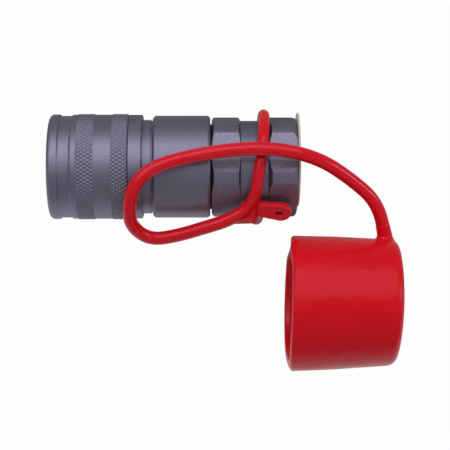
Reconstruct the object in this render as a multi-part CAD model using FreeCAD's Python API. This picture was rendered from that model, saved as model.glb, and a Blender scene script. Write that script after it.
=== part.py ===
import FreeCAD, Part
import math
import os

# Flat face quick coupler, female half, with its tethered dust cap. Units: mm.
# +Z is up. The coupler lies on its side along X. The origin is the centre of the
# coupling face: the front rim of the locking sleeve is in the plane x = 0, and
# the oil port is at the +X end. The cap lies on the floor on the -Y side.

V = FreeCAD.Vector
X_AXIS = V(1, 0, 0)
Z_AXIS = V(0, 0, 1)

# clearances; play is radial
RUN_FIT = 0.05           # radial, between pieces that slide or turn on each other
REST_GAP = 0.10          # between a spring and the piece that it pushes
SEAL_GAP = 0.03          # radial, between a seal and the piece that moves past it
NIPPLE_PLAY = 0.3        # round a plugged-in nipple
NIPPLE_SEAT_GAP = 0.4    # from the end of its bore to the face ring
SNAP_PLAY = 0.15         # from the snap ring to the sleeve's mouth
WASHER_PLAY = 0.1        # inside and outside the spring's washer
SLEEVE_SPRING_PLAY = 0.5
FACE_SPRING_PLAY = 0.45
RING_PLAY = 0.45         # from the tether ring to the adapter's neck
PLUG_PLAY = 0.11         # from the plug to the port
PLUG_LIFT = 0.1          # from the plug's flange to the port's face

# front of the socket body; the face ring has the nipple's radius and sets the rest
FACE_X = 1.0
FACE_RING_R = 12.25
FACE_RING_X = 6.0
NIPPLE_R = FACE_RING_R + NIPPLE_PLAY
NIPPLE_CHAMFER = 0.8
NIPPLE_GROOVE_X = 13.5
NIPPLE_GROOVE_DEPTH = 2.35
SPRING_ROOM_X = 27.0
SPRING_ROOM_R = FACE_RING_R + NIPPLE_GROOVE_DEPTH
TUBE_WALL = 1.4          # outside the spring room
TUBE_R = SPRING_ROOM_R + TUBE_WALL
SNAP_GROOVE_X = 2.2
SNAP_GROOVE_LENGTH = 1.2
SNAP_GROOVE_DEPTH = 0.8
SNAP_GROOVE_R = TUBE_R - SNAP_GROOVE_DEPTH
SNAP_RING_T = 1.85
SNAP_RING_R = SNAP_GROOVE_R + SNAP_RING_T
SNAP_GAP = 2.5           # between the ring's ends
BODY_STEP = 2.7          # from the tube up to the neck, for the sleeve spring
BODY_NECK_R = TUBE_R + BODY_STEP

# locking sleeve
SLEEVE_LENGTH = 37.0
SLEEVE_TRAVEL = 4.0
SLEEVE_WALL = 2.1        # of the skirt that runs on the neck
SLEEVE_GRIP_R = BODY_NECK_R + SLEEVE_WALL
SLEEVE_RIM_RISE = 0.1    # above the grip
SLEEVE_RIM_R = SLEEVE_GRIP_R + SLEEVE_RIM_RISE
SLEEVE_RIM_ROUND = 2.0
SLEEVE_RIM_X = 4.0       # end of the front rim
SLEEVE_BAND_DROP = 0.5   # below the grip
SLEEVE_BAND_R = SLEEVE_GRIP_R - SLEEVE_BAND_DROP
SLEEVE_BAND_X = 8.6      # end of the plain band behind it
SLEEVE_CONE = 0.85       # length of the slope up to the grip
KNURL_DEPTH = 0.2
KNURL_ROOT_R = SLEEVE_GRIP_R - KNURL_DEPTH
KNURL_BANDS = ((11.3, 18.1), (25.0, 30.7))
KNURL_EDGE = 0.25
SLEEVE_GROOVE_X = 31.4
SLEEVE_GROOVE_DEPTH = 1.0
SLEEVE_GROOVE_R = SLEEVE_GRIP_R - SLEEVE_GROOVE_DEPTH
SLEEVE_REAR_DROP = 0.1   # below the grip
SLEEVE_REAR_R = SLEEVE_GRIP_R - SLEEVE_REAR_DROP
NOTCH_ANGLE = 79.0       # from +Z towards +Y
NOTCH_WIDTH = 4.0
NOTCH_LENGTH = 5.2

# rear of the socket body
BODY_STEP_X = 31.0
BODY_SHOULDER_X = SLEEVE_LENGTH + SLEEVE_TRAVEL
BODY_DROP = 0.45         # below the sleeve's grip
BODY_R = SLEEVE_GRIP_R - BODY_DROP
BODY_END_X = 63.8
NOSE_X = 46.5

# ball lock
BALL_COUNT = 12
BALL_R = 2.38
BALL_X = 8.0
BALL_CENTRE_R = FACE_RING_R + SEAL_GAP + BALL_R
BALL_PLAY = 0.04         # of a ball in its hole
BALL_LIP = 0.18          # of the hole's inner lip, inside the ball's radius
BALL_LIP_T = 0.75
MOUTH_R = SNAP_RING_R + SNAP_PLAY
LAND_END_X = 14.5
RAMP_LENGTH = 1.15
RAMP_GAP = 0.118         # from the balls to the foot of the sleeve's ramp

# lengths along a seal groove
O_RING = 2.6
BACKUP = 1.2             # for the backup ring behind the O-ring

# flat face valve
FACE_RING_WALL = 2.25
FACE_RING_FLANGE_T = 2.55
FACE_RING_END_X = SPRING_ROOM_X + RUN_FIT + FACE_RING_FLANGE_T
SEAL_TUBE_R = FACE_RING_R - FACE_RING_WALL
SEAL_TUBE_WALL = 2.0
SEAL_TUBE_BORE_R = SEAL_TUBE_R - SEAL_TUBE_WALL
SEAL_TUBE_FACE = 3.0     # width of the tube's ring in the flat face
SEAL_TUBE_LIP = 0.6      # behind the stem's head
SEAL_TUBE_LIP_T = 1.9
STEM_HEAD_R = SEAL_TUBE_R - SEAL_TUBE_FACE
STEM_HEAD_T = 3.5
STEM_HEAD_END_X = FACE_RING_X + STEM_HEAD_T
STEM_SHOULDER = 1.6
STEM_ROD_R = 3.0
STEM_SHANK_R = 2.45
STEM_GROOVE_X = 1.2      # from the head's face
STEM_GROOVE_DEPTH = 1.1
STEM_GROOVE_R = STEM_HEAD_R - STEM_GROOVE_DEPTH
STEM_SEAL_T = 1.6
HOLDER_T = 4.0
HOLDER_HOLE_R = 1.55
HOLDER_PITCH_R = 5.9     # of the ring of holes
NUT_ACROSS_FLATS = 8.0
NUT_T = 3.9

# adapter
SPIGOT_STEP = 2.35       # outside the spring room
SPIGOT_R = SPRING_ROOM_R + SPIGOT_STEP
BODY_SEAL_SETBACK = 3.5  # from the spigot's nose
BODY_SEAL_X = NOSE_X + BODY_SEAL_SETBACK
BODY_SEAL_DEPTH = 1.65
BODY_SEAL_R = SPIGOT_R - BODY_SEAL_DEPTH
TUBE_GROOVE_SETBACK = 2.5
TUBE_GROOVE_X = NOSE_X + TUBE_GROOVE_SETBACK
TUBE_GROOVE_DEPTH = 2.2
TUBE_GROOVE_R = SEAL_TUBE_R + TUBE_GROOVE_DEPTH
GUIDE_END_X = TUBE_GROOVE_X + O_RING + BACKUP + 0.2
SEAL_TUBE_REACH = 1.5    # out of its guide, for the spring
SEAL_TUBE_END_X = GUIDE_END_X + SEAL_TUBE_REACH
HEX1_GAP = 0.6           # left between the body and the hex
HEX1_X = BODY_END_X + HEX1_GAP
HEX1_LENGTH = 11.3
NECK2_X = HEX1_X + HEX1_LENGTH
NECK2_LENGTH = 10.7
HEX2_X = NECK2_X + NECK2_LENGTH
HEX2_LENGTH = 11.7
ADAPTER_END_X = HEX2_X + HEX2_LENGTH
HEX_DROP = 0.15          # of the turned corners, below the body
HEX_CORNER_R = BODY_R - HEX_DROP
HEX_FLAT_DEPTH = 1.7     # below the corners
HEX_FLAT_R = HEX_CORNER_R - HEX_FLAT_DEPTH
HEX_FLAT_ANGLE = 15.5    # of one flat's middle, from +Z towards +Y
HEX_CHAMFER = 0.85
HEX2_FRONT_CHAMFER = 1.6
HEX2_REAR_ROUND = 2.2
NECK2_DROP = 0.2         # below the flats
NECK2_R = HEX_FLAT_R - NECK2_DROP
PORT_DEPTH = 22.1        # to the seat of the stem's holder
SEAT_X = ADAPTER_END_X - PORT_DEPTH
CHAMBER_WIDTH = 1.0      # round the seal tube
CHAMBER_R = SEAL_TUBE_R + CHAMBER_WIDTH
SEAT_WIDTH = 1.0
SEAT_R = CHAMBER_R + SEAT_WIDTH
CIRCLIP_PLAY = 0.3       # from the holder to the circlip's groove
CIRCLIP_X = SEAT_X + HOLDER_T + CIRCLIP_PLAY
CIRCLIP_T = 1.0
CIRCLIP_WIDTH = 1.9
CIRCLIP_GROOVE_DEPTH = 0.7
CIRCLIP_GROOVE_R = SEAT_R + CIRCLIP_GROOVE_DEPTH
PORT_PLAY = 0.06         # round the holder on its way in
PORT_R = SEAT_R + PORT_PLAY

# springs: wire diameter, inside radius, coils
SLEEVE_SPRING = (1.8, TUBE_R + SLEEVE_SPRING_PLAY, 4.5)
FACE_SPRING = (1.2, FACE_RING_R + FACE_SPRING_PLAY, 4.5)
VALVE_SPRING = (1.5, SEAL_TUBE_BORE_R + RUN_FIT, 6.0)
SPRING_WASHER_T = 1.4

# port plug
PLUG_FLANGE_X = ADAPTER_END_X + PLUG_LIFT
PLUG_FLANGE_T = 0.8
PLUG_FLANGE_DROP = 1.5   # below the hex's corners
PLUG_FLANGE_R = HEX_CORNER_R - PLUG_FLANGE_DROP
PLUG_OFFSET_Y = 2.8
PLUG_STEM_R = PORT_R - PLUG_PLAY
PLUG_STEM_LENGTH = 9.0
PLUG_WALL = 1.35

# tether ring; x of the tab, the web and the stub is from the ring's centre
RING_SETBACK = 3.8       # of the ring's centre from the second hex
RING_X = HEX2_X - RING_SETBACK
RING_SECTION_R = 2.15
RING_R = NECK2_R + RING_PLAY + RING_SECTION_R
RING_TILT = 6.9          # the +Y side leans towards +X
TAB_HOLE = (8.2, -18.1, 13.7)
TAB_LENGTH = 14.4
TAB_SLANT = -7.0         # of the plate's length, from +X towards -Y
TAB_WIDTH = 8.9
TAB_T = 2.4
TAB_LEAN = 38.0          # of the plate's normal, from +Z towards -Y
TAB_HOLE_R = 1.6
WEB_T = 2.0
WEB_CORNERS = ((-1.0, -15.7, 14.0), (-8.2, -20.2, 12.2), (-8.6, -22.8, 10.6),
               (-3.6, -22.1, 9.6), (-0.7, -21.8, 8.8), (0.0, -18.8, 11.5))
STUB_ROOT = (-1.1, -15.8, 14.8)
STUB_STRAIGHT = 4.9

# tether
CORD_R = 2.65
CORD_ROUTE = (
    (73.1, -19.8, 12.5), (64.4, -23.0, 10.4), (51.1, -27.1, 7.5), (40.1, -29.2, 7.5),
    (32.8, -23.8, 14.1), (32.2, -16.5, 20.1), (33.9, -9.1, 24.7), (40.0, -2.1, 25.6),
    (50.1, 1.7, 25.4), (65.8, 4.9, 25.7), (85.4, 6.4, 27.6), (104.6, 3.0, 23.2),
    (118.9, -5.5, 15.0), (129.8, -14.8, 10.0), (131.8, -22.4, 6.4))

# dust cap, which goes over the sleeve; the ring and the cap stand on one floor
CAP_PLAY = 1.6           # from the cap's wall to the sleeve's rim
CAP_WALL = 4.4
CAP_R = SLEEVE_RIM_R + CAP_PLAY + CAP_WALL
CAP_TAPER = 2.0
CAP_END_R = CAP_R - CAP_TAPER
CAP_LENGTH = 45.4
CAP_MOUTH = (94.4, -54.2, CAP_R - RING_R - RING_SECTION_R)
CAP_DIP = 1.0            # of the axis, closed end down
CAP_YAW = 0.5            # of the axis, closed end towards +Y
CAP_DOME_R = 140.0
CAP_CORNER = 3.5
CAP_RIM_ROUND = 0.8
CAP_BEAD = 1.0
CAP_BEAD_X = 3.6
CAP_BEAD_HALF = 1.6      # of its width
CAP_BEAD_ROUND = 0.6
CAP_DRAFT = 0.8          # of the inside wall, over its depth
CAP_FLOOR_T = 5.0
CAP_FLOOR_ROUND = 1.5
CAP_STUB_LENGTH = 8.8    # two of it inside the wall
CAP_STUB_R = 3.15
CAP_STUB_END_R = 2.8


def rounded_wire(corners):
    """Closed wire in the XY plane. A third value at a corner is its rounding."""
    places = []
    count = len(corners)
    for index, corner in enumerate(corners):
        here = V(corner[0], corner[1], 0)
        if len(corner) == 2:
            places.append((here, None, here))
            continue
        before = corners[index - 1]
        after = corners[(index + 1) % count]
        back = (V(before[0], before[1], 0) - here).normalize()
        ahead = (V(after[0], after[1], 0) - here).normalize()
        half = back.getAngle(ahead) / 2
        reach = corner[2] / math.tan(half)
        middle = (back + ahead).normalize() * (corner[2] / math.sin(half) - corner[2])
        places.append((here + back * reach, here + middle, here + ahead * reach))
    edges = []
    for index, (start, middle, end) in enumerate(places):
        if middle is not None:
            edges.append(Part.Arc(start, middle, end).toShape())
        following = places[(index + 1) % count][0]
        if (following - end).Length > 1e-6:
            edges.append(Part.LineSegment(end, following).toShape())
    return Part.Wire(edges)


def turned(corners):
    """Solid of revolution about X from (x, radius) corners."""
    return Part.Face(rounded_wire(corners)).revolve(V(0, 0, 0), X_AXIS, 360)


def sleeve_of(x0, x1, inner, outer):
    """Plain tube along X."""
    return turned([(x0, inner), (x1, inner), (x1, outer), (x0, outer)])


def rod(x0, x1, radius):
    """Plain cylinder along X."""
    return Part.makeCylinder(radius, x1 - x0, V(x0, 0, 0), X_AXIS)


def around_x(shape, degrees):
    """Copy turned about X; 0 is towards +Z and 90 towards +Y."""
    copy = shape.copy()
    copy.rotate(V(0, 0, 0), X_AXIS, -degrees)
    return copy


def coil_spring(x0, x1, spring):
    """Round wire wound about X between two seats, each half turn one arc."""
    wire_d, inside_r, coils = spring
    mean_r = inside_r + wire_d / 2
    start_x = x0 + wire_d / 2 + REST_GAP
    half_turns = int(2 * coils)
    rise = (x1 - x0 - wire_d - 2 * REST_GAP) / half_turns
    wide = math.hypot(mean_r, rise / 2)
    edges = []
    for number in range(half_turns):
        side = 1 if number % 2 == 0 else -1
        x = start_x + number * rise
        edges.append(Part.Arc(V(x, 0, side * mean_r), V(x + rise / 2, -side * wide, 0),
                              V(x + rise, 0, -side * mean_r)).toShape())
    section = Part.Wire(Part.makeCircle(wire_d / 2, V(start_x, 0, mean_r), V(0, 1, 0)))
    return Part.Wire(edges).makePipeShell([section], True, False)


def seal_ring(x0, inner, outer):
    """Toroidal O-ring squeezed to a slightly flat section in its groove."""
    width = O_RING - 2 * REST_GAP
    depth = outer - inner
    bulge = min(width, depth) * 0.42
    x1 = x0 + REST_GAP + width
    start = x0 + REST_GAP
    return turned([(start, inner, bulge), (x1, inner, bulge),
                   (x1, outer, bulge), (start, outer, bulge)])


def tube_along(points, radius):
    """Tube of straight runs joined by tangent arcs; returns it and its length."""
    route = [V(point) for point in points]
    edges = []
    start = route[0]
    length = 0.0
    smallest = None
    for before, here, after in zip(route, route[1:], route[2:]):
        back = before - here
        ahead = after - here
        half_turn = (math.pi - back.getAngle(ahead)) / 2
        reach = 0.45 * min(back.Length, ahead.Length)
        bend = reach / math.tan(half_turn)
        smallest = bend if smallest is None else min(smallest, bend)
        back.normalize()
        ahead.normalize()
        tangent_in = here + back * reach
        tangent_out = here + ahead * reach
        inward = (back + ahead).normalize() * (bend / math.cos(half_turn) - bend)
        edges.append(Part.LineSegment(start, tangent_in).toShape())
        edges.append(Part.Arc(tangent_in, here + inward, tangent_out).toShape())
        length += (tangent_in - start).Length + 2 * bend * half_turn
        start = tangent_out
    edges.append(Part.LineSegment(start, route[-1]).toShape())
    length += (route[-1] - start).Length
    path = Part.Wire(edges)
    section = Part.Wire(Part.makeCircle(radius, route[0], route[1] - route[0]))
    tube = path.makePipeShell([section], True, False)
    return tube, length, smallest


def locking_sleeve():
    """Knurled sleeve: rim, grip bands, rear ring with the lock notch."""
    rear_ring_x = SLEEVE_GROOVE_X + 0.4
    skirt_r = BODY_NECK_R + RUN_FIT
    land_r = TUBE_R + RUN_FIT
    ramp_end = BALL_X + math.sqrt(BALL_R ** 2 - (land_r - BALL_CENTRE_R) ** 2) + RAMP_GAP
    outline = [(0, MOUTH_R + 0.5), (0, SLEEVE_RIM_R, SLEEVE_RIM_ROUND),
               (SLEEVE_RIM_X, SLEEVE_RIM_R),
               (SLEEVE_RIM_X + SLEEVE_RIM_R - SLEEVE_BAND_R, SLEEVE_BAND_R),
               (SLEEVE_BAND_X, SLEEVE_BAND_R), (SLEEVE_BAND_X + SLEEVE_CONE, SLEEVE_GRIP_R)]
    for start, end in KNURL_BANDS:
        outline.append((start, SLEEVE_GRIP_R))
        outline.append((start + KNURL_EDGE, KNURL_ROOT_R))
        outline.append((end - KNURL_EDGE, KNURL_ROOT_R))
        if end < SLEEVE_GROOVE_X - 2:
            outline.append((end, SLEEVE_GRIP_R))
    outline += [(SLEEVE_GROOVE_X, SLEEVE_GROOVE_R), (rear_ring_x, SLEEVE_REAR_R),
                (SLEEVE_LENGTH - 0.4, SLEEVE_REAR_R), (SLEEVE_LENGTH, SLEEVE_REAR_R - 0.4),
                (SLEEVE_LENGTH, skirt_r + 0.4), (SLEEVE_LENGTH - 0.4, skirt_r),
                (LAND_END_X, skirt_r), (LAND_END_X, land_r), (ramp_end, land_r),
                (ramp_end - RAMP_LENGTH, MOUTH_R), (0.5, MOUTH_R)]
    body = turned(outline)
    notch = Part.makeBox(NOTCH_LENGTH, NOTCH_WIDTH, SLEEVE_REAR_R,
                         V(SLEEVE_LENGTH - NOTCH_LENGTH, -NOTCH_WIDTH / 2, BODY_NECK_R / 2))
    return body.cut(around_x(notch, NOTCH_ANGLE))


def ball_hole():
    """Radial stepped hole whose inner lip keeps the ball from falling in."""
    start = FACE_RING_R - BALL_R
    wide = Part.makeCylinder(BALL_R + BALL_PLAY, TUBE_R, V(BALL_X, 0, FACE_RING_R + BALL_LIP_T))
    lip = Part.makeCylinder(BALL_R - BALL_LIP, TUBE_R - start, V(BALL_X, 0, start))
    return wide.fuse(lip)


def socket_body():
    """Front tube with ball holes and seal groove, neck, shoulder, threaded end."""
    slide_r = FACE_RING_R + RUN_FIT
    groove_x = BODY_SHOULDER_X - 0.7
    groove_end = NIPPLE_GROOVE_X + O_RING + BACKUP
    snap_end = SNAP_GROOVE_X + SNAP_GROOVE_LENGTH
    seat_x = FACE_RING_X - NIPPLE_SEAT_GAP
    outline = [(FACE_X, NIPPLE_R + NIPPLE_CHAMFER), (FACE_X, TUBE_R - 0.5),
               (FACE_X + 0.5, TUBE_R), (SNAP_GROOVE_X, TUBE_R),
               (SNAP_GROOVE_X, SNAP_GROOVE_R), (snap_end, SNAP_GROOVE_R),
               (snap_end, TUBE_R), (BODY_STEP_X, TUBE_R), (BODY_STEP_X, BODY_NECK_R),
               (groove_x, BODY_NECK_R), (groove_x + 0.1, BODY_NECK_R - 0.4),
               (BODY_SHOULDER_X, BODY_NECK_R - 0.4), (BODY_SHOULDER_X, BODY_R - 1.0),
               (BODY_SHOULDER_X + 1.0, BODY_R), (BODY_END_X - 1.0, BODY_R),
               (BODY_END_X, BODY_R - 0.8), (BODY_END_X, SPIGOT_R + RUN_FIT),
               (NOSE_X, SPIGOT_R + RUN_FIT), (NOSE_X, SPRING_ROOM_R),
               (SPRING_ROOM_X, SPRING_ROOM_R), (SPRING_ROOM_X, slide_r),
               (groove_end, slide_r), (groove_end, SPRING_ROOM_R),
               (NIPPLE_GROOVE_X, SPRING_ROOM_R), (NIPPLE_GROOVE_X, slide_r),
               (seat_x, slide_r), (seat_x, NIPPLE_R),
               (FACE_X + NIPPLE_CHAMFER, NIPPLE_R)]
    body = turned(outline)
    holes = [around_x(ball_hole(), number * 360 / BALL_COUNT) for number in range(BALL_COUNT)]
    return body.cut(holes)


def locking_balls():
    """Ring of balls held out by the face ring."""
    ball = Part.makeSphere(BALL_R, V(BALL_X, 0, BALL_CENTRE_R))
    return Part.makeCompound([around_x(ball, number * 360 / BALL_COUNT)
                              for number in range(BALL_COUNT)])


def sleeve_snap_ring():
    """Round-cornered spring ring in the front groove, with its gap."""
    x0 = SNAP_GROOVE_X + 0.05
    x1 = SNAP_GROOVE_X + SNAP_GROOVE_LENGTH - 0.05
    inner = SNAP_GROOVE_R + 0.02
    ring = turned([(x0, inner), (x1, inner), (x1, SNAP_RING_R, 0.3), (x0, SNAP_RING_R, 0.3)])
    gap = Part.makeBox(SNAP_GROOVE_LENGTH, SNAP_GAP, 2 * SNAP_RING_T,
                       V(SNAP_GROOVE_X, -SNAP_GAP / 2, inner - SNAP_RING_T / 2))
    return ring.cut(around_x(gap, 200))


def sleeve_spring_washer():
    """Flat washer against the body's step."""
    return sleeve_of(BODY_STEP_X - SPRING_WASHER_T, BODY_STEP_X, TUBE_R + WASHER_PLAY,
                     BODY_NECK_R - WASHER_PLAY)


def sleeve_spring():
    """Pushes the sleeve forward, between the sleeve's land and the washer."""
    return coil_spring(LAND_END_X, BODY_STEP_X - SPRING_WASHER_T, SLEEVE_SPRING)


def face_ring():
    """Outer sliding ring of the flat face, with its rear flange."""
    flange_x = SPRING_ROOM_X + RUN_FIT
    bore_r = SEAL_TUBE_R + RUN_FIT
    return turned([(FACE_RING_X, bore_r + 0.2), (FACE_RING_X, FACE_RING_R - 0.25),
                   (FACE_RING_X + 0.25, FACE_RING_R), (flange_x, FACE_RING_R),
                   (flange_x, SPRING_ROOM_R - 0.1), (FACE_RING_END_X, SPRING_ROOM_R - 0.1),
                   (FACE_RING_END_X, bore_r), (FACE_RING_X + 0.2, bore_r)])


def face_ring_spring():
    """Pushes the face ring forward, against the adapter's nose."""
    return coil_spring(FACE_RING_END_X, NOSE_X, FACE_SPRING)


def seal_tube():
    """Inner valve tube: it seals on the stem's head and runs in the adapter."""
    front_r = STEM_HEAD_R + RUN_FIT
    lip_x = STEM_HEAD_END_X + RUN_FIT
    lip_end = STEM_HEAD_END_X + SEAL_TUBE_LIP_T
    lip_r = STEM_HEAD_R - SEAL_TUBE_LIP
    return turned([(FACE_RING_X, front_r), (FACE_RING_X, SEAL_TUBE_R - 0.2),
                   (FACE_RING_X + 0.2, SEAL_TUBE_R), (SEAL_TUBE_END_X, SEAL_TUBE_R),
                   (SEAL_TUBE_END_X, SEAL_TUBE_BORE_R),
                   (lip_end + SEAL_TUBE_BORE_R - lip_r, SEAL_TUBE_BORE_R),
                   (lip_end, lip_r), (lip_x, lip_r), (lip_x, front_r)])


def valve_spring():
    """Pushes the seal tube forward, against the spider."""
    return coil_spring(SEAL_TUBE_END_X, SEAT_X, VALVE_SPRING)


def valve_stem():
    """Fixed stem: flat head with its seal groove, rod, shank for the nut."""
    groove_x = FACE_RING_X + STEM_GROOVE_X
    neck_r = STEM_HEAD_R - STEM_SHOULDER
    shank_end = SEAT_X + HOLDER_T + NUT_T + 0.6
    return turned([(FACE_RING_X, 0), (FACE_RING_X, STEM_HEAD_R - 0.15),
                   (FACE_RING_X + 0.15, STEM_HEAD_R), (groove_x, STEM_HEAD_R),
                   (groove_x, STEM_GROOVE_R), (groove_x + STEM_SEAL_T, STEM_GROOVE_R),
                   (groove_x + STEM_SEAL_T, STEM_HEAD_R), (STEM_HEAD_END_X, STEM_HEAD_R),
                   (STEM_HEAD_END_X, neck_r), (STEM_HEAD_END_X + neck_r - STEM_ROD_R, STEM_ROD_R),
                   (SEAT_X, STEM_ROD_R),
                   (SEAT_X, STEM_SHANK_R), (shank_end - 0.4, STEM_SHANK_R),
                   (shank_end, STEM_SHANK_R - 0.4), (shank_end, 0)])


def stem_seal():
    """Small seal in the head's groove."""
    start = FACE_RING_X + STEM_GROOVE_X + REST_GAP / 2
    end = start + STEM_SEAL_T - REST_GAP
    outer = STEM_HEAD_R + SEAL_GAP - 0.01
    return turned([(start, STEM_GROOVE_R), (end, STEM_GROOVE_R), (end, outer, 0.3),
                   (start, outer, 0.3)])


def stem_holder():
    """Spider disc: hub for the stem and a ring of oil holes."""
    disc = sleeve_of(SEAT_X, SEAT_X + HOLDER_T, STEM_SHANK_R + RUN_FIT, SEAT_R - RUN_FIT)
    hole = Part.makeCylinder(HOLDER_HOLE_R, HOLDER_T, V(SEAT_X, 0, HOLDER_PITCH_R), X_AXIS)
    return disc.cut([around_x(hole, number * 45) for number in range(8)])


def stem_nut():
    """Hex nut behind the spider."""
    start = SEAT_X + HOLDER_T
    half = NUT_ACROSS_FLATS / 2
    blank_r = half * 1.5
    nut = sleeve_of(start, start + NUT_T, STEM_SHANK_R + RUN_FIT, blank_r)
    side = Part.makeBox(NUT_T, 2 * blank_r, blank_r, V(start, -blank_r, half))
    return nut.cut([around_x(side, number * 60) for number in range(6)])


def holder_circlip():
    """Internal circlip with two drilled ears."""
    outer = CIRCLIP_GROOVE_R - 0.05
    ring = sleeve_of(CIRCLIP_X, CIRCLIP_X + CIRCLIP_T, outer - CIRCLIP_WIDTH, outer)
    ring = ring.cut(Part.makeBox(3, 4.4, 6, V(CIRCLIP_X - 1, -2.2, outer - 4)))
    for side in (-1, 1):
        ear = Part.makeCylinder(1.5, CIRCLIP_T, V(CIRCLIP_X, side * 3.0, outer - 2.2), X_AXIS)
        hole = Part.makeCylinder(0.6, CIRCLIP_T, V(CIRCLIP_X, side * 3.0, outer - 2.4), X_AXIS)
        ring = ring.fuse(ear).cut(hole)
    return ring


def nipple_o_ring():
    """Seals the body on the face ring, or on the nipple once it is in."""
    return seal_ring(NIPPLE_GROOVE_X, FACE_RING_R + SEAL_GAP, SPRING_ROOM_R - 0.05)


def nipple_backup_ring():
    """PTFE ring that keeps that O-ring from being pushed out of its groove."""
    start = NIPPLE_GROOVE_X + O_RING
    return sleeve_of(start + 0.05, start + BACKUP - 0.05, FACE_RING_R + SEAL_GAP,
                     SPRING_ROOM_R - 0.05)


def tube_o_ring():
    """Seals the adapter on the sliding seal tube."""
    return seal_ring(TUBE_GROOVE_X, SEAL_TUBE_R + SEAL_GAP, TUBE_GROOVE_R - 0.05)


def tube_backup_ring():
    """PTFE ring behind the seal tube's O-ring."""
    start = TUBE_GROOVE_X + O_RING
    return sleeve_of(start + 0.05, start + BACKUP - 0.05, SEAL_TUBE_R + SEAL_GAP,
                     TUBE_GROOVE_R - 0.05)


def body_o_ring():
    """Seals the adapter's spigot in the body."""
    return seal_ring(BODY_SEAL_X, BODY_SEAL_R, SPIGOT_R + RUN_FIT)


def hex_flats():
    """Six cutters that leave the flats on both hexes."""
    side = Part.makeBox(ADAPTER_END_X - HEX1_X, 2 * HEX_CORNER_R, HEX_CORNER_R,
                        V(HEX1_X, -HEX_CORNER_R, HEX_FLAT_R))
    return [around_x(side, HEX_FLAT_ANGLE + number * 60) for number in range(6)]


def adapter():
    """Spigot, two hexes with the ring groove between them, port and seats."""
    guide_r = SEAL_TUBE_R + RUN_FIT
    groove_end = TUBE_GROOVE_X + O_RING + BACKUP
    base_r = HEX_CORNER_R - HEX2_FRONT_CHAMFER
    seal_end = BODY_SEAL_X + O_RING
    outline = [(NOSE_X, guide_r + 0.4), (NOSE_X, SPIGOT_R), (BODY_SEAL_X, SPIGOT_R),
               (BODY_SEAL_X, BODY_SEAL_R), (seal_end, BODY_SEAL_R), (seal_end, SPIGOT_R),
               (HEX1_X, SPIGOT_R), (HEX1_X, base_r), (HEX1_X + HEX_CHAMFER, HEX_CORNER_R),
               (NECK2_X - HEX_CHAMFER, HEX_CORNER_R), (NECK2_X, NECK2_R), (HEX2_X, NECK2_R),
               (HEX2_X + HEX2_FRONT_CHAMFER, HEX_CORNER_R),
               (ADAPTER_END_X, HEX_CORNER_R, HEX2_REAR_ROUND),
               (ADAPTER_END_X, PORT_R + 1.2), (ADAPTER_END_X - 1.2, PORT_R),
               (CIRCLIP_X + CIRCLIP_T, PORT_R), (CIRCLIP_X + CIRCLIP_T, CIRCLIP_GROOVE_R),
               (CIRCLIP_X, CIRCLIP_GROOVE_R), (CIRCLIP_X, SEAT_R), (SEAT_X, SEAT_R),
               (SEAT_X, CHAMBER_R), (GUIDE_END_X, CHAMBER_R), (GUIDE_END_X, guide_r),
               (groove_end, guide_r), (groove_end, TUBE_GROOVE_R),
               (TUBE_GROOVE_X, TUBE_GROOVE_R), (TUBE_GROOVE_X, guide_r),
               (NOSE_X + 0.4, guide_r)]
    return turned(outline).cut(hex_flats())


def port_plug():
    """Push-in plug: thin flange set off centre, hollow stem open to the rear."""
    flange = Part.makeCylinder(PLUG_FLANGE_R, PLUG_FLANGE_T,
                               V(PLUG_FLANGE_X, PLUG_OFFSET_Y, 0), X_AXIS)
    flange = flange.makeFillet(0.3, flange.Edges)
    stem_x = PLUG_FLANGE_X - PLUG_STEM_LENGTH
    stem = turned([(stem_x, 0), (stem_x, PLUG_STEM_R, 0.8), (PLUG_FLANGE_X + 0.3, PLUG_STEM_R),
                   (PLUG_FLANGE_X + 0.3, 0)])
    recess = rod(stem_x + PLUG_WALL, ADAPTER_END_X + 5, PLUG_STEM_R - PLUG_WALL)
    return flange.fuse(stem).cut(recess).removeSplitter()


def pull_tab():
    """Round-ended plate with a hole, lying along the ring's outside."""
    half = TAB_WIDTH / 2
    straight = TAB_LENGTH - half
    plate = Part.makeBox(straight, TAB_WIDTH, TAB_T, V(-straight, -half, -TAB_T / 2))
    end = Part.makeCylinder(half, TAB_T, V(0, 0, -TAB_T / 2), Z_AXIS)
    plate = plate.fuse(end).removeSplitter()
    plate = plate.cut(Part.makeCylinder(TAB_HOLE_R, TAB_T * 2, V(0, 0, -TAB_T), Z_AXIS))
    plate.rotate(V(0, 0, 0), X_AXIS, TAB_LEAN)
    plate.rotate(V(0, 0, 0), Z_AXIS, TAB_SLANT)
    plate.translate(V(RING_X, 0, 0) + V(*TAB_HOLE))
    return plate


def web():
    """Thin gusset between the stub's underside and the ring's lower strand."""
    corners = [V(RING_X, 0, 0) + V(*corner) for corner in WEB_CORNERS]
    normal = (corners[2] - corners[0]).cross(corners[4] - corners[0]).normalize()
    flat = [point - normal * ((point - corners[0]).dot(normal)) for point in corners]
    face = Part.Face(Part.makePolygon(flat + [flat[0]]))
    face.translate(normal * (-WEB_T / 2))
    return face.extrude(normal * WEB_T)


def ring_stub():
    """Bent stub that leaves the ring and ends in line with the cord."""
    end = V(*CORD_ROUTE[0])
    along = (V(*CORD_ROUTE[1]) - end).normalize()
    root = V(RING_X, 0, 0) + V(*STUB_ROOT)
    return tube_along((root, end - along * STUB_STRAIGHT, end), CORD_R)[0]


def tether_ring():
    """Ring round the adapter's groove with the stub, the web and the pull tab."""
    ring = Part.makeTorus(RING_R, RING_SECTION_R, V(0, 0, 0), X_AXIS)
    ring.rotate(V(0, 0, 0), Z_AXIS, -RING_TILT)
    ring.translate(V(RING_X, 0, 0))
    return ring.fuse([ring_stub(), web(), pull_tab()])


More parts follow.
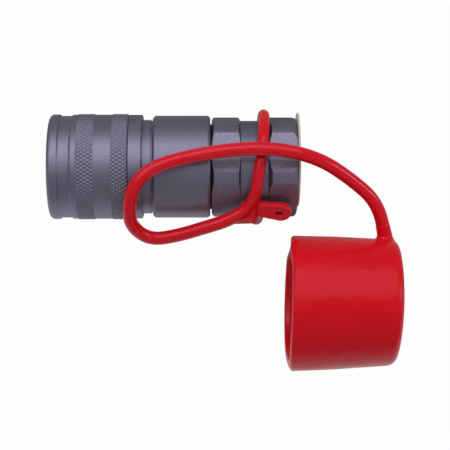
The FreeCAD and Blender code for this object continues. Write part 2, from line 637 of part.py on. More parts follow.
def tether():
    """The cord; its solid is checked against section times length."""
    tube, length, smallest = tube_along(CORD_ROUTE, CORD_R)
    section = math.pi * CORD_R ** 2
    print("tether: length %.1f, smallest radius %.1f, volume %.0f, section x length %.0f"
          % (length, smallest, tube.Volume, section * length))
    return tube


def rounded_at(solid, x, radius):
    """Rounds the widest circular edge that lies within its rounding of a plane across X."""
    near = [edge for edge in solid.Edges if abs(edge.BoundBox.Center.x - x) < radius]
    return solid.makeFillet(radius, [max(near, key=lambda edge: edge.Length)])


def cap_stub():
    """Tapered stub that ends where the cord begins."""
    end = V(*CORD_ROUTE[-1])
    along = (end - V(*CORD_ROUTE[-2])).normalize()
    root = end + along * CAP_STUB_LENGTH
    return Part.makeCone(CAP_STUB_R, CAP_STUB_END_R, CAP_STUB_LENGTH, root, along * -1)


def dust_cap():
    """Tapered cup, closed end domed, bead inside the mouth, stub for the cord."""
    inner = CAP_R - CAP_WALL
    floor_x = CAP_LENGTH - CAP_FLOOR_T
    cup = turned([(0, 0), (0, CAP_R), (CAP_LENGTH, CAP_END_R), (CAP_LENGTH, 0)])
    cup = cup.common(Part.makeSphere(CAP_DOME_R, V(CAP_LENGTH - CAP_DOME_R, 0, 0)))
    cup = rounded_at(cup, CAP_LENGTH, CAP_CORNER)
    cup = rounded_at(cup, 0, CAP_RIM_ROUND)
    cup = cup.cut(turned([(-CAP_WALL, 0), (-CAP_WALL, inner), (CAP_BEAD_X - CAP_BEAD_HALF, inner),
                          (CAP_BEAD_X, inner - CAP_BEAD, CAP_BEAD_ROUND),
                          (CAP_BEAD_X + CAP_BEAD_HALF, inner),
                          (floor_x, inner - CAP_DRAFT, CAP_FLOOR_ROUND), (floor_x, 0)]))
    cup.rotate(V(0, 0, 0), V(0, 1, 0), CAP_DIP)
    cup.rotate(V(0, 0, 0), Z_AXIS, CAP_YAW)
    cup.translate(V(*CAP_MOUTH))
    return cup.fuse(cap_stub())


PIECES = (locking_sleeve, socket_body, adapter, port_plug, tether_ring, tether, dust_cap,
          sleeve_snap_ring, locking_balls, sleeve_spring, sleeve_spring_washer, face_ring,
          face_ring_spring, seal_tube, valve_spring, valve_stem, stem_seal, stem_holder,
          stem_nut, holder_circlip, nipple_o_ring, nipple_backup_ring, tube_o_ring,
          tube_backup_ring, body_o_ring)

os.makedirs("parts", exist_ok=True)
for piece in PIECES:
    piece().exportStep("parts/%s.step" % piece.__name__)
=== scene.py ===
import math
from itertools import product

import bmesh
import bpy
from mathutils import Matrix, Vector, noise
from mathutils.bvhtree import BVHTree


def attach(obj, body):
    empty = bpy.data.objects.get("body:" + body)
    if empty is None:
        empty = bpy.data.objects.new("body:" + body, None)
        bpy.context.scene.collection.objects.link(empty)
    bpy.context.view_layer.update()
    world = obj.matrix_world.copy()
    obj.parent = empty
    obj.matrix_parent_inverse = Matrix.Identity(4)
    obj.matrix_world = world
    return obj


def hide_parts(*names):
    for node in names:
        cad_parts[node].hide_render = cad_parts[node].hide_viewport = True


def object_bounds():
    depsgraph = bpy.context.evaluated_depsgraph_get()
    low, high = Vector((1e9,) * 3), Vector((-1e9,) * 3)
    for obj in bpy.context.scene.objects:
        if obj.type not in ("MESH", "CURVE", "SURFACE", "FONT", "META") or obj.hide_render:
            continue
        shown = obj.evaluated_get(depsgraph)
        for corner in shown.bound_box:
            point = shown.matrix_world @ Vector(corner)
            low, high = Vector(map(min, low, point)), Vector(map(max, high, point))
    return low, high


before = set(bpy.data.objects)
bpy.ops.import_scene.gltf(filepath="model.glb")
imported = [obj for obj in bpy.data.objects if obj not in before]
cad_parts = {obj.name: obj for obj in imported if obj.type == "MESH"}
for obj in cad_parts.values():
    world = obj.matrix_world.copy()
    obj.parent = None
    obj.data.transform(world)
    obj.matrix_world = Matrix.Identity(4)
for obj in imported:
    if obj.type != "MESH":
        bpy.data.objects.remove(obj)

cad_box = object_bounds()

# The picture's frame
# The coupler lies on a white table and is seen from straight above, from 0.6 m.
# The view is centred between coupler and cap, and the lens is moved a little aside.
MM = 0.001                      # m
VIEW_CENTRE = (62.89, -23.3)    # mm, the point under the camera
VIEW_HEIGHT = 600               # mm, from the coupler's axis up to the camera
VIEW_WIDTH = 180                # mm, seen at the height of the axis
LENS_ASIDE = 17                 # pixels
PICTURE_WIDTH = 450             # pixels

camera = bpy.data.objects.new("camera", bpy.data.cameras.new("camera"))
bpy.context.scene.collection.objects.link(camera)
camera.location = (VIEW_CENTRE[0] * MM, VIEW_CENTRE[1] * MM, VIEW_HEIGHT * MM)
camera.data.sensor_fit = "HORIZONTAL"
camera.data.angle = 2 * math.atan(VIEW_WIDTH / 2 / VIEW_HEIGHT)
camera.data.shift_x = LENS_ASIDE / PICTURE_WIDTH
camera.data.clip_start = 50 * MM
bpy.context.scene.camera = camera
bpy.context.scene.view_settings.view_transform = "Standard"

# Socket body
# The main steel tube of the coupler, turned from bar and zinc-nickel plated.
# Its rear end takes the adapter's thread and its front tube holds the balls.


def linear(code):
    """Linear colour of an sRGB hex value."""
    parts = [int(code[place:place + 2], 16) / 255 for place in (1, 3, 5)]
    return [part / 12.92 if part <= 0.04045 else ((part + 0.055) / 1.055) ** 2.4
            for part in parts] + [1.0]


def add(material, kind, inputs=None, **settings):
    """Adds a node; an input takes a value or another node's output. Inputs go by
    name or by number: in a colour mix 0 is the share and 6 and 7 the two colours."""
    made = material.node_tree.nodes.new(kind)
    for name, value in settings.items():
        setattr(made, name, value)
    for name, value in (inputs or {}).items():
        if isinstance(value, bpy.types.NodeSocket):
            material.node_tree.links.new(value, made.inputs[name])
        else:
            made.inputs[name].default_value = value
    return made


def finish_named(name):
    """Empty node material with its output."""
    material = bpy.data.materials.new(name)
    material.use_nodes = True
    material.node_tree.nodes.clear()
    return material, add(material, "ShaderNodeOutputMaterial")


def wear(material, *names):
    """Gives a material to CAD nodes."""
    for name in names:
        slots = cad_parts[name].data.materials
        slots.clear()
        slots.append(material)


def plated_steel(name, grain_depth, lathe_depth, milled=None):
    """Zinc-nickel plating over machined steel: a dull grey-violet metal whose
    crystals scatter the light, with the lathe's fine rings under it. The depths
    are in mm, and milled is a function that changes the colour and the height."""
    material, output = finish_named(name)
    place = add(material, "ShaderNodeTexCoord").outputs["Object"]
    # plating crystals are 0.01 mm; drawn at 0.35 mm, so that they show at all
    grain = add(material, "ShaderNodeTexNoise", {
        "Vector": place, "Scale": 1 / (0.35 * MM), "Detail": 2.0, "Roughness": 0.6})
    # lathe feed 0.1 mm a turn, drawn at 0.5 mm
    stretched = add(material, "ShaderNodeVectorMath", {
        0: place, 1: (1.0, 0.02, 0.02)}, operation="MULTIPLY")
    rings = add(material, "ShaderNodeTexNoise", {
        "Vector": stretched.outputs[0], "Scale": 1 / (0.5 * MM), "Detail": 1.0})
    # cloudy shade of the passivated layer, some 12 mm across
    cloud = add(material, "ShaderNodeTexNoise", {
        "Vector": place, "Scale": 1 / (12 * MM), "Detail": 3.0})
    shade = add(material, "ShaderNodeMix", {
        0: cloud.outputs["Fac"], 6: linear("#817e92"), 7: linear("#8a8798")},
        data_type="RGBA")
    fleck = add(material, "ShaderNodeMapRange", {
        "Value": grain.outputs["Fac"], "From Min": 0.35, "From Max": 0.7,
        "To Min": 0.9, "To Max": 1.12})
    colour = add(material, "ShaderNodeVectorMath", {
        0: shade.outputs[2], "Scale": fleck.outputs[0]}, operation="SCALE").outputs[0]
    height = add(material, "ShaderNodeMath", {
        0: grain.outputs["Fac"], 1: grain_depth * MM}, operation="MULTIPLY").outputs[0]
    if milled:
        colour, height = milled(material, place, colour, height)
    depth = add(material, "ShaderNodeMath", {
        0: rings.outputs["Fac"], 1: lathe_depth * MM, 2: height}, operation="MULTIPLY_ADD")
    bump = add(material, "ShaderNodeBump", {
        "Height": depth.outputs[0], "Strength": 1.0, "Distance": 1.0})
    rough = add(material, "ShaderNodeMapRange", {
        "Value": cloud.outputs["Fac"], "To Min": 0.47, "To Max": 0.53})
    steel = add(material, "ShaderNodeBsdfPrincipled", {
        "Base Color": colour, "Metallic": 1.0,
        "Roughness": rough.outputs[0], "Normal": bump.outputs[0]})
    material.node_tree.links.new(steel.outputs[0], output.inputs["Surface"])
    return material


turned_steel = plated_steel("zinc_nickel_turned", 0.012, 0.006)
wear(turned_steel, "socket_body")

# Adapter
# Hex bar with its corners turned down, screwed into the body. The flats are as
# milled, so they sparkle more than the turned bands. Same plating as the body.
SPIGOT_R = 17.3             # mm; the spigot is painted dark as shade, where it lies deep in the groove between body and hex
FLAT_MIDDLE_R = 18.46       # mm from the axis, just inside a flat's middle
FLAT_CORNER_R = 20.12       # mm from the axis, just inside a turned corner


def milled_hex(material, place, colour, height):
    """Painted shade on the spigot, where it lies deep in the groove between body and hex,
    and a coarse, sparkling grain on the flats, both placed by the distance from the axis;
    gives back the changed colour and height."""
    across = add(material, "ShaderNodeVectorMath", {
        0: place, 1: (0.0, 1.0, 1.0)}, operation="MULTIPLY")
    radius = add(material, "ShaderNodeVectorMath", {
        0: across.outputs[0]}, operation="LENGTH").outputs["Value"]
    # painted shade: the spigot at the bottom of the groove is darkened almost to black
    painted_groove_shade = add(material, "ShaderNodeMapRange", {
        "Value": radius, "From Min": SPIGOT_R * MM, "From Max": (SPIGOT_R + 0.1) * MM,
        "To Min": 0.06, "To Max": 1.0})
    outside = add(material, "ShaderNodeMath", {
        0: radius, 1: FLAT_MIDDLE_R * MM}, operation="GREATER_THAN")
    inside = add(material, "ShaderNodeMath", {
        0: radius, 1: FLAT_CORNER_R * MM}, operation="LESS_THAN")
    flat = add(material, "ShaderNodeMath", {
        0: outside.outputs[0], 1: inside.outputs[0]}, operation="MULTIPLY")
    # the cutter's marks are 0.2 mm apart, drawn at 0.9 mm and 0.1 mm deep
    marks = add(material, "ShaderNodeTexNoise", {
        "Vector": place, "Scale": 1 / (0.9 * MM), "Detail": 3.0})
    sparkle = add(material, "ShaderNodeMapRange", {
        "Value": marks.outputs["Fac"], "From Min": 0.35, "From Max": 0.65,
        "To Min": -0.13, "To Max": 0.13})
    gain = add(material, "ShaderNodeMath", {
        0: sparkle.outputs[0], 1: flat.outputs[0], 2: 1.0}, operation="MULTIPLY_ADD")
    dark = add(material, "ShaderNodeVectorMath", {
        0: colour, "Scale": painted_groove_shade.outputs[0]}, operation="SCALE")
    colour = add(material, "ShaderNodeVectorMath", {
        0: dark.outputs[0], "Scale": gain.outputs[0]}, operation="SCALE")
    coarse = add(material, "ShaderNodeMath", {
        0: flat.outputs[0], 1: 0.1 * MM}, operation="MULTIPLY")
    height = add(material, "ShaderNodeMath", {
        0: marks.outputs["Fac"], 1: coarse.outputs[0], 2: height}, operation="MULTIPLY_ADD")
    return colour.outputs[0], height.outputs[0]


wear(plated_steel("zinc_nickel_milled", 0.012, 0.006, milled_hex), "adapter")

# Valve and face ring
# Hardened steel pieces that slide in each other behind the flat front face.
# They are ground and stay bright, because the hydraulic oil keeps them so.


def ground_steel(name, tint, roughness):
    """Ground or drawn steel: bright neutral metal with rings from the wheel."""
    material, output = finish_named(name)
    place = add(material, "ShaderNodeTexCoord").outputs["Object"]
    stretched = add(material, "ShaderNodeVectorMath", {
        0: place, 1: (1.0, 0.05, 0.05)}, operation="MULTIPLY")
    # grinding marks of 0.02 mm, drawn at 0.3 mm
    marks = add(material, "ShaderNodeTexNoise", {
        "Vector": stretched.outputs[0], "Scale": 1 / (0.3 * MM), "Detail": 2.0})
    bump = add(material, "ShaderNodeBump", {
        "Height": marks.outputs["Fac"], "Strength": 1.0, "Distance": 0.004 * MM})
    rough = add(material, "ShaderNodeMapRange", {
        "Value": marks.outputs["Fac"], "To Min": roughness - 0.05,
        "To Max": roughness + 0.08})
    steel = add(material, "ShaderNodeBsdfPrincipled", {
        "Base Color": linear(tint), "Metallic": 1.0,
        "Roughness": rough.outputs[0], "Normal": bump.outputs[0]})
    material.node_tree.links.new(steel.outputs[0], output.inputs["Surface"])
    return material


wear(ground_steel("ground_steel", "#b4b4b8", 0.26), "face_ring", "seal_tube",
     "valve_stem", "stem_holder", "stem_nut", "sleeve_spring_washer")

# Springs, snap ring and circlip
# Spring steel, wound from hard-drawn wire or, for the circlip, stamped. Heat
# treatment and oil leave it dark, and no plating covers it.
wear(ground_steel("spring_wire", "#77777c", 0.36), "sleeve_spring", "face_ring_spring",
     "valve_spring", "sleeve_snap_ring", "holder_circlip")

# Locking balls
# Through-hardened bearing balls, loose in the body's radial holes. They are lapped
# to a mirror, so they are the brightest metal of the coupler.
wear(ground_steel("bearing_ball", "#c9c9ce", 0.12), "locking_balls")

# Seals and backup rings
# Black nitrile rubber O-rings, each held up by a white PTFE ring, and the small
# moulded seal in the stem's head.


def moulded(name, colours, spot, roughness, depth, specular, milky=0.0):
    """Moulded rubber or plastic: soft speckle and a skin that is not quite even.
    The speckle is spot mm across and depth mm deep, and milky lets light in."""
    material, output = finish_named(name)
    place = add(material, "ShaderNodeTexCoord").outputs["Object"]
    speck = add(material, "ShaderNodeTexNoise", {
        "Vector": place, "Scale": 1 / (spot * MM), "Detail": 4.0})
    shade = add(material, "ShaderNodeMix", {
        0: speck.outputs["Fac"], 6: linear(colours[0]), 7: linear(colours[1])},
        data_type="RGBA")
    bump = add(material, "ShaderNodeBump", {
        "Height": speck.outputs["Fac"], "Strength": 1.0, "Distance": depth * MM})
    rough = add(material, "ShaderNodeMapRange", {
        "Value": speck.outputs["Fac"], "To Min": roughness - 0.05,
        "To Max": roughness + 0.05})
    # light that gets in travels some 3 mm
    skin = add(material, "ShaderNodeBsdfPrincipled", {
        "Base Color": shade.outputs[2], "Roughness": rough.outputs[0],
        "Specular IOR Level": specular, "Normal": bump.outputs[0],
        "Subsurface Weight": milky, "Subsurface Radius": (3 * MM, 3 * MM, 2.4 * MM),
        "Subsurface Scale": 1.0})
    material.node_tree.links.new(skin.outputs[0], output.inputs["Surface"])
    return material


wear(moulded("nitrile_rubber", ("#141414", "#1e1e1e"), 0.6, 0.5, 0.01, 0.4),
     "nipple_o_ring", "tube_o_ring", "body_o_ring", "stem_seal")
wear(moulded("ptfe", ("#e6e4de", "#efeee9"), 3.0, 0.45, 0.01, 0.4),
     "nipple_backup_ring", "tube_backup_ring")

# Locking sleeve
# The sleeve that is pulled back to uncouple. Its two grip bands are diamond
# knurled: a wheel presses crossing grooves, and the metal between rises.
DIAMONDS = 83               # in a turn, 1.6 mm apart
DIAMOND_PITCH = 2.5         # mm, along the axis
DIAMOND_HEIGHT = 0.45       # mm
GROOVE_R = 20.57            # mm, at the bottom of the grooves
FLANK = 0.15                # of a diamond, from a groove's middle to its flank's top
SHOULDER = 0.24             # of a diamond, from the same middle to level metal
FLANK_TOP = 0.85            # of a diamond's height, at the flank's top
WHEEL_SLOPE = 0.45          # mm, where the wheel's face ends and the band runs out

wear(turned_steel, "locking_sleeve")


def solid_from(name, shape):
    """Object from a bmesh, with its faces turned outward and shaded smooth."""
    bmesh.ops.recalc_face_normals(shape, faces=shape.faces)
    for face in shape.faces:
        face.smooth = True
    mesh = bpy.data.meshes.new(name)
    shape.to_mesh(mesh)
    shape.free()
    made = bpy.data.objects.new(name, mesh)
    bpy.context.scene.collection.objects.link(made)
    return made


def piece_from(name, shape, material, body):
    """Piece from a bmesh, with its finish and the body that it rides on."""
    piece = solid_from(name, shape)
    piece.data.materials.append(material)
    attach(piece, body)
    return piece


def raised(place):
    """Height of the metal beside one family of grooves, 0 in a groove to 1; the
    grooves lie at whole numbers."""
    off = abs(place - round(place))
    flank = off / FLANK * FLANK_TOP
    shoulder = FLANK_TOP + (off - FLANK) / (SHOULDER - FLANK) * (1 - FLANK_TOP)
    return min(1.0, flank, shoulder)


def knurl(name, start, end, front_lift, rear_lift):
    """Band of pressed diamonds; start and end along the axis, in mm. The mesh
    follows the grooves. At its ends it runs out into the plain metal, which stands
    front_lift or rear_lift mm above the bottom of the grooves."""
    lines = (0.0, FLANK, SHOULDER, 0.5, 1 - SHOULDER, 1 - FLANK)
    whole_turn = DIAMONDS * len(lines)
    verts = {}
    shape = bmesh.new()

    def corner(one, two):
        """Vertex at a crossing of the mesh's lines, counted along both grooves."""
        past = one // whole_turn * whole_turn
        one -= past
        two -= past
        if (one, two) not in verts:
            along = one // len(lines) + lines[one % len(lines)]
            across = two // len(lines) + lines[two % len(lines)]
            angle = math.tau * (along + across) / 2 / DIAMONDS
            verts[one, two] = shape.verts.new((DIAMOND_PITCH * (along - across) / 2 * MM,
                                               math.sin(angle), math.cos(angle)))
        return verts[one, two]

    columns = range(int(2 * start / DIAMOND_PITCH) - 2, int(2 * end / DIAMOND_PITCH) + 3)
    within = range(len(lines))
    for column, diamond, first, second in product(columns, range(DIAMONDS), within, within):
        one = diamond * len(lines) + first
        two = (diamond - column) * len(lines) + second
        shape.faces.new((corner(one, two), corner(one, two + 1),
                         corner(one + 1, two + 1), corner(one + 1, two)))
    # cut off what lies past the two ends, and put a line where each slope begins
    for place, facing, cut_off in ((start, 1, True), (end, -1, True),
                                   (start + WHEEL_SLOPE, 1, False),
                                   (end - WHEEL_SLOPE, 1, False)):
        bmesh.ops.bisect_plane(shape, geom=shape.verts[:] + shape.edges[:] + shape.faces[:],
                               plane_co=(place * MM, 0, 0), plane_no=(facing, 0, 0),
                               clear_inner=cut_off)
    for vert in shape.verts:
        x = vert.co.x / MM
        turn = math.atan2(vert.co.y, vert.co.z) / math.tau * DIAMONDS
        height = min(raised(turn + x / DIAMOND_PITCH), raised(turn - x / DIAMOND_PITCH))
        # no two diamonds are quite equal in height
        height *= 1 + 0.12 * noise.noise(Vector((x, turn, 0)) * 0.9)
        lift = front_lift if x - start < end - x else rear_lift
        full = min(1.0, (x - start) / WHEEL_SLOPE, (end - x) / WHEEL_SLOPE)
        radius = (GROOVE_R + DIAMOND_HEIGHT * height * full + lift * (1 - full)) * MM
        outward = Vector((0, vert.co.y, vert.co.z)).normalized()
        vert.co = Vector((vert.co.x, 0, 0)) + outward * radius
    piece_from(name, shape, knurled_steel, "sleeve")


knurled_steel = plated_steel("zinc_nickel_knurled", 0.002, 0.0)
knurl("front_knurl", 11.2, 18.2, 0.25, 0.25)
# the rear band runs out into the groove in front of the sleeve's rear ring
knurl("rear_knurl", 24.9, 31.6, 0.25, -0.2)

# Port plug
# Low-density polyethylene plug pushed into the port for transport. It is left
# in its natural colour, waxy and a little see-through at the thin flange.
wear(moulded("natural_polyethylene", ("#c6c3a8", "#d8d5bc"), 9.0, 0.42, 0.02, 0.4, 0.7),
     "port_plug")

# Tether ring
# Soft PVC ring stretched over the adapter's neck, moulded with the stub of the
# tether, a thin gusset and the pull tab, all with full fillets.
STRAND_R = 2.3              # mm
RING_X = 84.4               # mm, the place of the ring along the coupler
RING_TILT = 0.65            # mm, at its sides
RING_WIDE = 20.775          # mm, radius to the sides
RING_HIGH = 20.9            # mm, radius up and down
RING_ASIDE = 0.175          # mm, towards -Y
STUB_ANGLE = 40             # degrees round the ring
STUB_R = 2.68               # mm, where it takes the cord
GUSSET_R = 0.95             # mm, half its thickness
TAB_HOLE = Vector((90.8, -18.1, 13.7))      # mm, the hole's middle
TAB_HOLE_R = 1.48           # mm
TAB_THICKNESS = 2.7         # mm
TAB_RIM_R = 0.55            # mm
TAB_LEAN = (Matrix.Rotation(math.radians(-8), 4, "Z")
            @ Matrix.Rotation(math.radians(40), 4, "X"))


def soft_pvc(name, roughness, uneven, specular, ripple_depth):
    """Soft red PVC: deep saturated colour under a smooth skin, with a few pale
    specks of dust. The skin's roughness wanders by uneven, and its ripples are
    ripple_depth mm deep."""
    material, output = finish_named(name)
    place = add(material, "ShaderNodeTexCoord").outputs["Object"]
    cloud = add(material, "ShaderNodeTexNoise", {
        "Vector": place, "Scale": 1 / (14 * MM), "Detail": 2.0})
    shade = add(material, "ShaderNodeMix", {
        0: cloud.outputs["Fac"], 6: linear("#d80b19"), 7: linear("#e30f1e")},
        data_type="RGBA")
    # dust specks 0.6 mm across, about one in 6 mm
    dust = add(material, "ShaderNodeTexVoronoi", {
        "Vector": place, "Scale": 1 / (6 * MM)})
    speck = add(material, "ShaderNodeMath", {
        0: dust.outputs["Distance"], 1: 0.05}, operation="LESS_THAN")
    colour = add(material, "ShaderNodeMix", {
        0: speck.outputs[0], 6: shade.outputs[2], 7: linear("#c8505a")}, data_type="RGBA")
    # ripple of the cooled skin, 5 mm from crest to crest
    ripple = add(material, "ShaderNodeTexNoise", {
        "Vector": place, "Scale": 1 / (5 * MM), "Detail": 1.0})
    bump = add(material, "ShaderNodeBump", {
        "Height": ripple.outputs["Fac"], "Strength": 1.0, "Distance": ripple_depth * MM})
    rough = add(material, "ShaderNodeMapRange", {
        "Value": cloud.outputs["Fac"], "From Min": 0.35, "From Max": 0.65,
        "To Min": roughness - uneven, "To Max": roughness + uneven})
    skin = add(material, "ShaderNodeBsdfPrincipled", {
        "Base Color": colour.outputs[2], "Roughness": rough.outputs[0], "IOR": 1.53,
        "Specular IOR Level": specular, "Specular Tint": linear("#ffdcf4"),
        "Normal": bump.outputs[0]})
    material.node_tree.links.new(skin.outputs[0], output.inputs["Surface"])
    return material


def circle(centre, side, other, radius, around):
    """Points of a circle that starts towards side and goes on towards other."""
    return [centre + (side * math.cos(math.tau * step / around)
                      + other * math.sin(math.tau * step / around)) * radius
            for step in range(around)]


def join_rings(mesh, rings):
    """Faces from each ring of vertices to the next; a ring of one is a tip."""
    around = max(len(ring) for ring in rings)
    for one, two in zip(rings, rings[1:]):
        for step in range(around):
            following = (step + 1) % around
            corners = [one[step % len(one)], one[following % len(one)],
                       two[following % len(two)], two[step % len(two)]]
            mesh.faces.new(list(dict.fromkeys(corners)))


def tube_between(mesh, points, radii, around=24):
    """Round tube through points into a bmesh, closed at both ends."""
    points = [Vector(point) for point in points]
    rings = []
    side = None
    for place, point in enumerate(points):
        ahead = points[min(place + 1, len(points) - 1)] - points[max(place - 1, 0)]
        ahead.normalize()
        if side is None:
            side = ahead.orthogonal().normalized()
        side = (side - ahead * side.dot(ahead)).normalized()
        ring = circle(point, side, ahead.cross(side), radii[place], around)
        rings.append([mesh.verts.new(corner * MM) for corner in ring])
    join_rings(mesh, rings)
    mesh.faces.new(list(reversed(rings[0])))
    mesh.faces.new(rings[-1])


def slab(mesh, corners, normal, thickness):
    """Flat plate with straight sides into a bmesh, from corners in mm."""
    normal = Vector(normal).normalized() * thickness / 2
    low = [mesh.verts.new((Vector(corner) - normal) * MM) for corner in corners]
    high = [mesh.verts.new((Vector(corner) + normal) * MM) for corner in corners]
    mesh.faces.new(list(reversed(low)))
    mesh.faces.new(high)
    join_rings(mesh, [low, high])


def smooth_run(points, steps):
    """Points along a clamped quadratic B-spline."""
    points = [Vector(point) for point in points]
    joints = [(one + two) / 2 for one, two in zip(points, points[1:])]
    joints[0] = points[0]
    joints[-1] = points[-1]
    run = []
    for start, corner, end in zip(joints, points[1:-1], joints[1:]):
        for step in range(steps):
            part = step / steps
            run.append(start * (1 - part) ** 2 + corner * 2 * part * (1 - part)
                       + end * part ** 2)
    run.append(points[-1])
    return run


def bell(off, width):
    """Bell curve, 1 at its middle."""
    return math.exp(-0.5 * (off / width) ** 2)


def ring_point(degrees):
    """Centre of the ring's strand; 0 is towards +Z and 90 towards -Y. The tether
    pulls the ring aside in a wide bow of 2.4 mm at the stub, with a further bend
    of 1.5 mm past it that is steeper on the stub's side."""
    angle = math.radians(degrees)
    off = (degrees - STUB_ANGLE + 180) % 360 - 180
    bow = 2.4 * bell(off + 2, 38)
    bend = 1.5 * bell(off - 17, 14 if off < 17 else 28)
    pull = bow + bend
    return Vector((RING_X - RING_TILT * math.sin(angle) - pull,
                   -RING_WIDE * math.sin(angle) - RING_ASIDE,
                   RING_HIGH * math.cos(angle)))


def stub_radius(place):
    """Radius at a step along the stub, 0 to 40. It leaves the ring as thick as the
    strand, swells from step 8 to take the cord, and narrows into it from 34."""
    swelling = STRAND_R + (STUB_R - STRAND_R) * max(0, place - 8) / 20
    narrowing = STUB_R - 0.09 * (place - 34)
    return min(swelling, STUB_R, narrowing)


def pull_tab(mesh):
    """Plate round the tab's hole, with a half oval as its end and a raised rim
    along that end. Its other end reaches into the ring's strand."""
    plate = [Vector((-8.6, -3.2, 0)), Vector((-8.6, 2.8, 0)), Vector((-4.0, 3.3, 0))]
    arc = [math.pi * step / 24 for step in range(25)]
    plate += [Vector((4.6 * math.sin(turn), 3.85 * math.cos(turn), 0)) for turn in arc]
    plate.reverse()
    slab(mesh, [TAB_HOLE + TAB_LEAN @ (point - Vector((0, 0, 0.2))) for point in plate],
         TAB_LEAN @ Vector((0, 0, 1)), TAB_THICKNESS)
    rim = [TAB_HOLE + TAB_LEAN @ (point * 0.88 + Vector((0, 0, 0.8)))
           for point in plate[:len(arc)]]
    tube_between(mesh, rim, [TAB_RIM_R] * len(rim), 12)


def grow_together(piece, tool):
    """Makes one skin with soft fillets of the parts that overlap in a piece, and
    cuts a hole with a tool, which is then taken away."""
    remesh = piece.modifiers.new("grown", "REMESH")
    remesh.mode = "VOXEL"
    remesh.voxel_size = 0.3 * MM
    soften = piece.modifiers.new("fillets", "SMOOTH")
    soften.factor = 0.5
    soften.iterations = 12
    cut = piece.modifiers.new("hole", "BOOLEAN")
    cut.operation = "DIFFERENCE"
    cut.object = tool
    cut.solver = "EXACT"
    bpy.context.view_layer.update()
    depsgraph = bpy.context.evaluated_depsgraph_get()
    grown = bpy.data.meshes.new_from_object(piece.evaluated_get(depsgraph))
    piece.modifiers.clear()
    piece.data = grown
    bpy.data.objects.remove(tool)
    for face in grown.polygons:
        face.use_smooth = True


# the ring and the cord come out of a polished mould, so they are glossy
glossy_pvc = soft_pvc("glossy_red_pvc", 0.13, 0.03, 0.36, 0.08)
moulding = bmesh.new()
strand = [ring_point(360 * step / 96) for step in range(97)]
tube_between(moulding, strand, [STRAND_R] * len(strand))
# the stub starts in the strand and ends in the cord
stub = smooth_run([(81.9, -8.2, 19.2), (80.9, -12.6, 16.9), (78.8, -15.8, 14.5),
                   (75.6, -18.8, 13.2), (73.1, -20.05, 12.45), (70.9, -21.15, 11.9)], 10)
tube_between(moulding, stub, [stub_radius(place) for place in range(len(stub))])
# the gusset is a sheet between the stub's underside and the ring's outside
under_stub = smooth_run([(80.4, -13.4, 16.6), (78.8, -17.2, 14.8), (75.6, -20.3, 12.9),
                         (70.4, -22.2, 11.0)], 16)
outside_ring = smooth_run([(81.6, -14.2, 16.2), (81.7, -17.0, 14.9), (81.8, -19.6, 12.7),
                           (81.6, -21.8, 10.4)], 16)
for inner, outer in zip(under_stub, outside_ring):
    tube_between(moulding, [inner, outer], [GUSSET_R, GUSSET_R], 10)
pull_tab(moulding)
drill = bmesh.new()
through = TAB_LEAN @ Vector((0, 0, 4))
tube_between(drill, [TAB_HOLE - through, TAB_HOLE + through], [TAB_HOLE_R, TAB_HOLE_R], 32)
tether_ring = piece_from("tether_ring_moulded", moulding, glossy_pvc, "cap_set")
grow_together(tether_ring, solid_from("drill", drill))
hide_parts("tether_ring")

# Tether
# Solid PVC cord, 5.3 mm thick, moulded on to the ring's stub and welded to the
# cap's stub. It is stiff enough to stand up in a loop.
CORD_THICKNESS = 5.3        # mm

# from the ring's stub to the cap's stub, in mm
route = (
    (73.1, -20.05, 12.45), (69.6, -21.85, 11.6), (63.0, -23.9, 10.1),
    (51.1, -27.45, 7.5), (40.1, -29.2, 7.5), (32.8, -23.8, 14.1),
    (32.2, -16.5, 20.1), (33.9, -9.1, 24.7), (40.0, -2.1, 25.6), (50.1, 1.7, 25.4),
    (65.8, 4.9, 25.7), (85.4, 6.4, 27.6), (104.6, 3.0, 23.2), (118.9, -5.5, 15.0),
    (129.8, -14.8, 10.0), (131.8, -22.4, 6.4))
curve = bpy.data.curves.new("tether_cord", "CURVE")
curve.dimensions = "3D"
spline = curve.splines.new("NURBS")
spline.points.add(len(route) - 1)
for point, place in zip(spline.points, route):
    point.co = [value * MM for value in place] + [1.0]
spline.order_u = 3
spline.use_endpoint_u = True
spline.use_smooth = True
spline.resolution_u = 12
curve.bevel_depth = CORD_THICKNESS / 2 * MM
curve.bevel_resolution = 8
curve.use_fill_caps = True
curve.materials.append(glossy_pvc)
tether = bpy.data.objects.new("tether_cord", curve)
bpy.context.scene.collection.objects.link(tether)
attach(tether, "cap_set")
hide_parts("tether")

# Dust cap
# Soft PVC cup that goes over the sleeve, dip-moulded, so all its edges are
# round and its wall is a little uneven. A bead inside the mouth grips.
CAP_AROUND = 192            # steps round the cap
CAP_LEAN = 0.035            # slope of its ends, which stand a little out of square
CAP_WAVE = 22               # mm, from one wave of the uneven wall to the next
CAP_UNEVEN = 0.15           # mm
MOUTH_LENGTH = 12           # mm, over which the mouth's bend dies out
DOME_R = 20.6               # mm, where the closed end's dome begins
DOME_X = 44.5               # mm, the dome's top
DOME_CURVE = 140            # mm, radius of the dome's curve
CAP_MOUTH = (95.05, -54.45, 3.85)           # mm, the mouth's middle
CAP_YAW = 0.5               # degrees, its closed end towards +Y
CAP_DIP = 1.0               # degrees, its closed end down

# distances along the cap's axis and from it, in mm, with the rounding of a corner
cap_outline = (
    (39.9, 0.0), (39.9, 21.4, 1.5), (5.2, 22.3),        # inside
    (3.6, 21.4, 0.6), (2.0, 22.4, 0.6),                 # bead
    (0.0, 22.9, 0.7), (0.0, 26.9, 1.3),                 # mouth
    (18.0, 26.35), (42.3, 25.0, 3.6), (44.0, 12.0))     # outside, towards the dome


